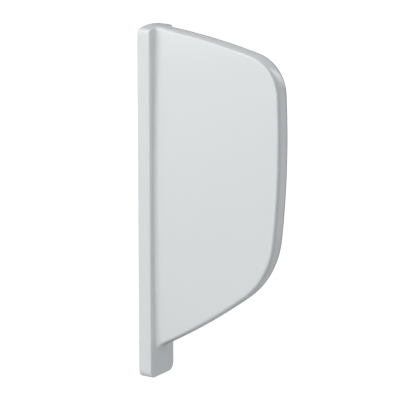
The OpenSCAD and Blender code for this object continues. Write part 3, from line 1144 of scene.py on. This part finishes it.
class Nodes:
    """A node tree that is filled from Python."""

    def __init__(self, tree: bpy.types.NodeTree) -> None:
        """Empties the tree."""
        self.tree = tree
        tree.nodes.clear()

    def node(self, kind: str, settings: dict[str, Any] | None = None, **sockets: Value) -> bpy.types.Node:
        """Adds a node: its settings first, then the values or links of its sockets.

        Args:
            kind: the node's type.
            settings: its properties.
            sockets: input names with underscores for spaces, and a value, socket or term for each.

        Returns:
            The new node.
        """
        node = self.tree.nodes.new(kind)
        for key, value in (settings or {}).items():
            setattr(node, key, value)
        for key, value in sockets.items():
            self.feed(node, key.replace("_", " "), value)
        return node

    def feed(self, node: bpy.types.Node, name: str, value: Value) -> None:
        """Gives one input of a node its value or its link.

        Args:
            node: the node.
            name: the input's name.
            value: a number, a colour, a socket or a term.
        """
        place = next(i for i in node.inputs if i.name == name and i.enabled)
        if isinstance(value, Term):
            self.tree.links.new(value.socket, place)
        elif isinstance(value, bpy.types.NodeSocket):
            self.tree.links.new(value, place)
        elif place.type == "RGBA":
            place.default_value = (*value, 1.0)
        else:
            place.default_value = value

    def term(self, node: bpy.types.Node, output: str) -> Term:
        """One output of a node as a number for shader maths."""
        return Term(self.tree, node.outputs[output])


@dataclass(frozen=True)
class Grain:
    """Smooth noise with features of about 1 / scale metres, stretched where a factor is below 1."""

    scale: float
    detail: float = 3.0
    rough: float = 0.5
    stretch: tuple[float, float, float] = (1.0, 1.0, 1.0)


class Shader(Nodes):
    """One material's node tree, ending in a Principled BSDF."""

    def __init__(self, name: str) -> None:
        """Makes an empty material with its shader and its object coordinates.

        Args:
            name: the material's name.
        """
        self.material = bpy.data.materials.new(name)
        self.material.use_nodes = True
        super().__init__(self.material.node_tree)
        self.surface = self.node("ShaderNodeBsdfPrincipled")
        self.node("ShaderNodeOutputMaterial", Surface=self.surface.outputs[0])
        self.place = self.node("ShaderNodeTexCoord").outputs["Object"]

    def noise(self, grain: Grain) -> Term:
        """Noise from 0 to 1 on the object's coordinates, each times the grain's stretch.

        Args:
            grain: the noise's scale, detail and stretch.

        Returns:
            The noise.
        """
        place = self.node("ShaderNodeMapping", Vector=self.place, Scale=grain.stretch).outputs[0]
        found = self.node("ShaderNodeTexNoise", Vector=place, Scale=grain.scale, Detail=grain.detail,
                          Roughness=grain.rough)
        return self.term(found, "Fac")

    def cells(self, scale: float) -> Term:
        """The distance to the centres of cells of about 1 / scale metres."""
        return self.term(self.node("ShaderNodeTexVoronoi", Vector=self.place, Scale=scale), "Distance")

    def mark(self, name: str) -> Term:
        """A number that the mesh carries on its points."""
        settings = {"attribute_type": "GEOMETRY", "attribute_name": name}
        return self.term(self.node("ShaderNodeAttribute", settings), "Fac")

    def blend(self, share: Value, a: Value, b: Value) -> bpy.types.NodeSocket:
        """A colour between a and b."""
        found = self.node("ShaderNodeMix", {"data_type": "RGBA"}, Factor=share, A=a, B=b)
        return next(o for o in found.outputs if o.enabled)

    def bump(self, *layers: tuple[Term, float]) -> bpy.types.NodeSocket:
        """Bends the normal by one height layer on another.

        Args:
            layers: each layer's height from 0 to 1, and its depth in metres.

        Returns:
            The bent normal.
        """
        below: dict[str, bpy.types.NodeSocket] = {}
        for height, depth in layers:
            found = self.node("ShaderNodeBump", Height=height, Distance=depth, Strength=1.0, **below)
            below = {"Normal": found.outputs[0]}
        return below["Normal"]

    def set(self, **sockets: Value) -> None:
        """Feeds the Principled BSDF's inputs."""
        for key, value in sockets.items():
            self.feed(self.surface, key.replace("_", " "), value)


# --- Finishes -----------------------------------------------------------------------------------------------


@dataclass(frozen=True)
class GlazedWhite:
    """Fired glaze over china: cool white, glossy, slightly wavy as it flowed, with a fine orange peel."""

    tint: Colour = (0.792, 0.822, 0.827)
    thick: Colour = (0.770, 0.806, 0.817)
    # Dark grey of the shade painted along the rim's corners and of the shadow painted under the panel
    shade_paint: Colour = (0.320, 0.342, 0.350)
    gloss: float = 0.16
    gloss_spread: float = 0.05
    refraction: float = 1.52
    coat: float = 0.35
    coat_rough: float = 0.06
    flow: Grain = Grain(5.0, stretch=(1.0, 1.0, 0.45))
    flow_ramp: Point = (0.3, 0.7)
    flow_share: float = 0.7
    mottle: Grain = Grain(60.0, 4.0, 0.6)
    shade_mottle: float = 0.3
    waves: Grain = Grain(22.0, 2.0)
    wave_depth: float = 0.00008
    peel: Grain = Grain(420.0, 2.0, 0.4)
    peel_depth: float = 0.000005

    def material(self, name: str) -> bpy.types.Material:
        """Builds the glaze: colour by how thick it lies, shade painted in along the body's mark, gloss and
        bump by how it flowed.

        Args:
            name: the material's name.

        Returns:
            The material.
        """
        m = Shader(name)
        mottle = m.noise(self.mottle)
        flow = m.noise(self.flow).above(*self.flow_ramp)
        colour = m.blend(flow * self.flow_share + mottle * (1.0 - self.flow_share), self.tint, self.thick)
        # Painted shade: the body's mark, varied by the mottle, darkens the colour towards the grey
        shade_paint = m.mark(ChinaBody.shade_mark) * (1.0 - self.shade_mottle / 2.0 + self.shade_mottle * mottle)
        m.set(Base_Color=m.blend(shade_paint, colour, self.shade_paint), Roughness=self.gloss + self.gloss_spread * mottle,
              IOR=self.refraction, Coat_Weight=self.coat, Coat_Roughness=self.coat_rough,
              Normal=m.bump((m.noise(self.waves), self.wave_depth), (m.noise(self.peel), self.peel_depth)))
        return m.material


@dataclass(frozen=True)
class BareClay:
    """Fired clay without glaze, where the body meets the wall and inside it: chalky, with kiln dust."""

    pale: Colour = (0.66, 0.63, 0.57)
    dusty: Colour = (0.52, 0.48, 0.42)
    rough: float = 0.82
    rough_spread: float = 0.1
    shine: float = 0.3
    blotches: Grain = Grain(14.0, 5.0, 0.6)
    blotch_ramp: Point = (0.35, 0.7)
    blotch_share: float = 0.6
    grain: Grain = Grain(900.0, 3.0, 0.6)
    grain_depth: float = 0.00006
    drag: Grain = Grain(60.0, 3.0, 0.6, (1.0, 1.0, 0.12))
    drag_share: float = 0.25
    drag_depth: float = 0.0002
    pore_scale: float = 260.0
    pore_ramp: Point = (0.05, 0.16)
    pore_share: float = 0.4
    pore_depth: float = 0.00025

    def material(self, name: str) -> bpy.types.Material:
        """Builds the clay: blotches, pores and the long marks of the mould.

        Args:
            name: the material's name.

        Returns:
            The material.
        """
        m = Shader(name)
        grain, drag = m.noise(self.grain), m.noise(self.drag)
        between = m.cells(self.pore_scale).above(*self.pore_ramp)
        blotches = m.noise(self.blotches).above(*self.blotch_ramp)
        dust = blotches * self.blotch_share + drag * self.drag_share + (1.0 - between) * self.pore_share
        m.set(Base_Color=m.blend(dust, self.pale, self.dusty), Specular_IOR_Level=self.shine,
              Roughness=self.rough + self.rough_spread * grain,
              Normal=m.bump((drag, self.drag_depth), (grain, self.grain_depth), (between, self.pore_depth)))
        return m.material


@dataclass(frozen=True)
class ZincPlate:
    """Zinc-plated pressed steel: pale grey with a faint bluish and yellowish cast and fine rolling marks."""

    cool: Colour = (0.62, 0.645, 0.67)
    warm: Colour = (0.60, 0.585, 0.52)
    rough: float = 0.3
    rough_spread: float = 0.12
    clouds: Grain = Grain(45.0, 4.0, 0.55)
    cloud_ramp: Point = (0.4, 0.68)
    cloud_share: float = 0.6
    rolled: Grain = Grain(1500.0, 2.0, stretch=(1.0, 0.06, 1.0))
    rolled_depth: float = 0.000012
    scuffs: Grain = Grain(240.0, 3.0, 0.7, (0.3, 1.0, 1.0))
    scuff_ramp: Point = (0.62, 0.72)
    scuff_depth: float = 0.00001

    def material(self, name: str) -> bpy.types.Material:
        """Builds the plating: passivation clouds, rolling marks and small scuffs.

        Args:
            name: the material's name.

        Returns:
            The material.
        """
        m = Shader(name)
        clouds, rolled = m.noise(self.clouds), m.noise(self.rolled)
        scuffs = m.noise(self.scuffs).above(*self.scuff_ramp)
        colour = m.blend(clouds.above(*self.cloud_ramp) * self.cloud_share, self.cool, self.warm)
        m.set(Base_Color=colour, Metallic=1.0, Roughness=self.rough + self.rough_spread * (clouds + scuffs),
              Normal=m.bump((rolled, self.rolled_depth), (scuffs, self.scuff_depth)))
        return m.material


@dataclass(frozen=True)
class BlackRubber:
    """Moulded black rubber with a dull bloom and a fine grain."""

    dark: Colour = (0.018, 0.018, 0.019)
    pale: Colour = (0.055, 0.055, 0.056)
    rough: float = 0.62
    rough_spread: float = 0.2
    bloom: Grain = Grain(70.0, 4.0, 0.6)
    bloom_ramp: Point = (0.4, 0.75)
    pits: Grain = Grain(2200.0, 2.0, 0.6)
    pit_depth: float = 0.00002

    def material(self, name: str) -> bpy.types.Material:
        """Builds the rubber: grey bloom over black, with a pitted surface.

        Args:
            name: the material's name.

        Returns:
            The material.
        """
        m = Shader(name)
        bloom = m.noise(self.bloom)
        m.set(Base_Color=m.blend(bloom.above(*self.bloom_ramp), self.dark, self.pale),
              Roughness=self.rough + self.rough_spread * bloom,
              Normal=m.bump((m.noise(self.pits), self.pit_depth)))
        return m.material


@dataclass(frozen=True)
class MouldedPlastic:
    """Injection-moulded plastic with slight flow clouds and a spark-eroded grain."""

    colour: Colour
    cloud: Colour
    rough: float
    pit_depth: float
    rough_spread: float = 0.1
    clouds: Grain = Grain(160.0)
    cloud_ramp: Point = (0.35, 0.7)
    pits: Grain = Grain(3500.0, 2.0)

    def material(self, name: str) -> bpy.types.Material:
        """Builds the plastic: clouds in the colour, and a fine even grain.

        Args:
            name: the material's name.

        Returns:
            The material.
        """
        m = Shader(name)
        pits = m.noise(self.pits)
        m.set(Base_Color=m.blend(m.noise(self.clouds).above(*self.cloud_ramp), self.colour, self.cloud),
              Roughness=self.rough + self.rough_spread * pits, Normal=m.bump((pits, self.pit_depth)))
        return m.material


class Finish(Enum):
    """What the pieces wear: the record's material slot, and the finish that fills it."""

    CHINA = ("glazed_china", GlazedWhite())
    CLAY = ("glazed_china", BareClay())
    STEEL = ("zinc_steel", ZincPlate())
    FASTENER = ("zinc_steel", ZincPlate(rolled=Grain(1500.0, 2.0, stretch=(1.0, 1.0, 0.08))))
    RUBBER = ("black_rubber", BlackRubber())
    NYLON = ("natural_plastic", MouldedPlastic((0.72, 0.67, 0.54), (0.66, 0.60, 0.46), 0.42, 0.00001))
    CAP = ("white_plastic", MouldedPlastic((0.79, 0.81, 0.80), (0.76, 0.785, 0.78), 0.24, 0.000006))

    @property
    def slot(self) -> str:
        """The record's material slot."""
        return self.value[0]

    def material(self) -> bpy.types.Material:
        """The finish's material, built once."""
        name = f"finish_{self.name.lower()}"
        return bpy.data.materials.get(name) or self.value[1].material(name)


def dress(piece: bpy.types.Object, *finishes: Finish) -> bpy.types.Object:
    """Gives a piece its finishes.

    Args:
        piece: the piece.
        finishes: one for each of its material slots.

    Returns:
        The piece.
    """
    worn = piece.data.materials
    if len(worn) > 0:
        # Sends every face to the first slot, so a new mesh, which wears nothing yet, is left alone
        worn.clear()
    for finish in finishes:
        worn.append(finish.material())
    return piece


def stand_for(piece: bpy.types.Object, node: str, *finishes: Finish) -> bpy.types.Object:
    """Dresses a new piece and lets it ride on the body in a solid's place.

    Args:
        piece: the new piece.
        node: the solid that it stands for.
        finishes: what it wears, the first of which names the record's slot.

    Returns:
        The piece.
    """
    dress(piece, *finishes)
    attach(piece, BODY)
    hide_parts(node)
    return piece


# --- Studio -------------------------------------------------------------------------------------------------


WHITE: Colour = (1.0, 1.0, 1.0)
# Bluish white of the lamps beside the screen
COOL: Colour = (0.985, 0.985, 1.04)


def direction(azimuth: float, elevation: float) -> Vector:
    """The unit vector towards a viewer or a lamp, from its azimuth and elevation in degrees."""
    a, e = math.radians(azimuth), math.radians(elevation)
    return Vector((math.sin(a) * math.cos(e), -math.cos(a) * math.cos(e), math.sin(e)))


def facing(thing: bpy.types.Object, aim: Sequence[float], azimuth: float, elevation: float,
           distance: float) -> None:
    """Sets a lamp or a camera at a distance from a point, looking at it, and links it.

    Args:
        thing: the lamp or the camera.
        aim: the point that it looks at, in metres.
        azimuth: where it stands round the screen, in degrees.
        elevation: how high it stands, in degrees.
        distance: how far off it stands, in metres.
    """
    back = direction(azimuth, elevation)
    thing.location = Vector(aim) + distance * back
    thing.rotation_euler = back.to_track_quat("Z", "Y").to_euler()
    bpy.context.scene.collection.objects.link(thing)


@dataclass(frozen=True)
class Lamp:
    """A soft light that looks at the screen: size across, and tall times that in height, in metres.

    Azimuth 0 stands in front of the panel's shown side, and 90 in front of its edge, facing the wall. A lamp
    can be left out of what gloss mirrors, or of what dull surfaces scatter.
    """

    name: str
    azimuth: float
    elevation: float
    distance: float
    size: float
    power: float
    colour: Colour = WHITE
    mirrored: bool = True
    diffuse: bool = True
    tall: float = 1.0
    aim: tuple[float, float, float] = (0.13, 0.0, 0.0)

    def add(self) -> None:
        """Adds the light to the scene."""
        light = bpy.data.lights.new(self.name, "AREA")
        light.shape = "RECTANGLE"
        light.size, light.size_y = self.size, self.size * self.tall
        light.energy = self.power
        light.color = self.colour
        lamp = bpy.data.objects.new(self.name, light)
        lamp.visible_glossy = self.mirrored
        lamp.visible_diffuse = self.diffuse
        facing(lamp, self.aim, self.azimuth, self.elevation, self.distance)


@dataclass
class Studio:
    """Pale floor, soft lights and the photograph's camera."""

    lamps: tuple[Lamp, ...] = (
        Lamp("key_light", 0.0, 40.0, 3.2, 3.5, 61.0),
        Lamp("front_light", -20.0, 25.0, 3.2, 3.5, 33.0),
        Lamp("left_light", -80.0, 40.0, 4.0, 3.0, 25.0),
        Lamp("low_left_light", -50.0, 0.0, 4.0, 4.0, 10.0),
        Lamp("low_light", 0.0, -40.0, 4.0, 4.0, 10.0),
        Lamp("low_front_light", 20.0, -20.0, 4.0, 4.0, 15.0),
        Lamp("low_right_light", 40.0, -40.0, 4.0, 4.0, 25.0),
        Lamp("edge_light", 146.7, -12.5, 4.0, 1.3, 1.8),
        Lamp("corner_light", 153.0, 25.0, 4.0, 0.7, 12.0, diffuse=False, tall=3.8),
        Lamp("side_light", 120.0, 0.0, 4.0, 4.0, 26.0, COOL, mirrored=False),
        Lamp("right_light", 100.0, 0.0, 4.0, 3.0, 12.0, COOL, mirrored=False),
        Lamp("high_side_light", 120.0, 40.0, 4.0, 4.0, 18.0, COOL, mirrored=False),
        Lamp("rear_light", 213.3, -14.5, 4.0, 1.0, 90.0, mirrored=False),
    )
    sky: float = 0.145
    mirrored_behind: float = 0.35
    mirrored_above: float = 1.42
    mirrored_below: float = 0.70
    floor_z: float = -5.2
    floor_half: float = 30.0
    floor_colour: Colour = (0.9, 0.9, 0.9)
    floor_rough: float = 0.9
    azimuth: float = 33.29
    elevation: float = 14.50
    distance: float = 4.916
    focal_pixels: float = 2558.0
    frame_pixels: float = 400.0
    sensor: float = 36.0
    sight: float = 100.0
    target: tuple[float, float, float] = (0.1166, 0.0, 0.0185)

    def camera(self) -> None:
        """Sets the camera at the photograph's place, found by fitting the screen's outline."""
        data = bpy.data.cameras.new("photo_camera")
        data.sensor_width = self.sensor
        data.lens = self.focal_pixels / self.frame_pixels * self.sensor
        data.clip_end = self.sight
        camera = bpy.data.objects.new("photo_camera", data)
        facing(camera, self.target, self.azimuth, self.elevation, self.distance)
        bpy.context.scene.camera = camera

    def floor(self) -> None:
        """Lays the pale floor far below the screen, where the camera alone sees it."""
        h, z = self.floor_half, self.floor_z
        mesh = bpy.data.meshes.new("studio_floor")
        mesh.from_pydata([(-h, -h, z), (h, -h, z), (h, h, z), (-h, h, z)], [], [(0, 1, 2, 3)])
        floor = bpy.data.objects.new("studio_floor", mesh)
        bpy.context.scene.collection.objects.link(floor)
        m = Shader("studio_floor")
        m.set(Base_Color=self.floor_colour, Roughness=self.floor_rough, Emission_Color=WHITE,
              Emission_Strength=1.0)
        mesh.materials.append(m.material)
        floor.visible_diffuse = floor.visible_glossy = floor.visible_shadow = False

    def sky_light(self) -> None:
        """White to the camera, and a dim even light on every surface.

        What the gloss mirrors grows brighter with the square of the height, up and down, as between two wide
        soft screens. All round it is dim behind the screen and dark on the camera's side.
        """
        world = bpy.data.worlds.new("studio_sky")
        world.use_nodes = True
        sky = Nodes(world.node_tree)
        away = sky.node("ShaderNodeSeparateXYZ", Vector=sky.node("ShaderNodeTexCoord").outputs["Generated"])
        x, y, height = (sky.term(away, axis) for axis in "XYZ")
        over, under = (up.above(0.0, 1.0) ** 2.0 for up in (height, 0.0 - height))
        view = direction(self.azimuth, 0.0)
        behind = (0.5 - 0.5 * view.x * x - 0.5 * view.y * y) ** 2.0
        mirrored = (self.mirrored_behind * behind * (1.0 - over - under) + self.mirrored_above * over
                    + self.mirrored_below * under)
        path = sky.node("ShaderNodeLightPath")
        seen, glossy = sky.term(path, "Is Camera Ray"), sky.term(path, "Is Glossy Ray")
        strength = seen + (1.0 - seen) * (glossy * mirrored + (1.0 - glossy) * self.sky)
        light = sky.node("ShaderNodeBackground", Color=WHITE, Strength=strength)
        sky.node("ShaderNodeOutputWorld", Surface=light.outputs[0])
        bpy.context.scene.world = world

    def build(self) -> None:
        """Sets up the whole studio."""
        view = bpy.context.scene.view_settings
        view.view_transform = "Standard"
        view.look = "None"
        self.camera()
        self.floor()
        self.sky_light()
        for lamp in self.lamps:
            lamp.add()


def main() -> None:
    """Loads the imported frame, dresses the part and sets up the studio."""
    logging.basicConfig(level=logging.INFO, format="%(name)s: %(message)s")
    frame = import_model()
    for part in (ChinaBody(), LockBolt(), LockNut(), RoundFittings(), Plates(frame["nodes"])):
        for piece in part.build():
            LOG.info("%s: %s with %d faces", type(part).__name__, piece.name, len(piece.data.polygons))
    Studio().build()


if __name__ == "__main__":
    main()
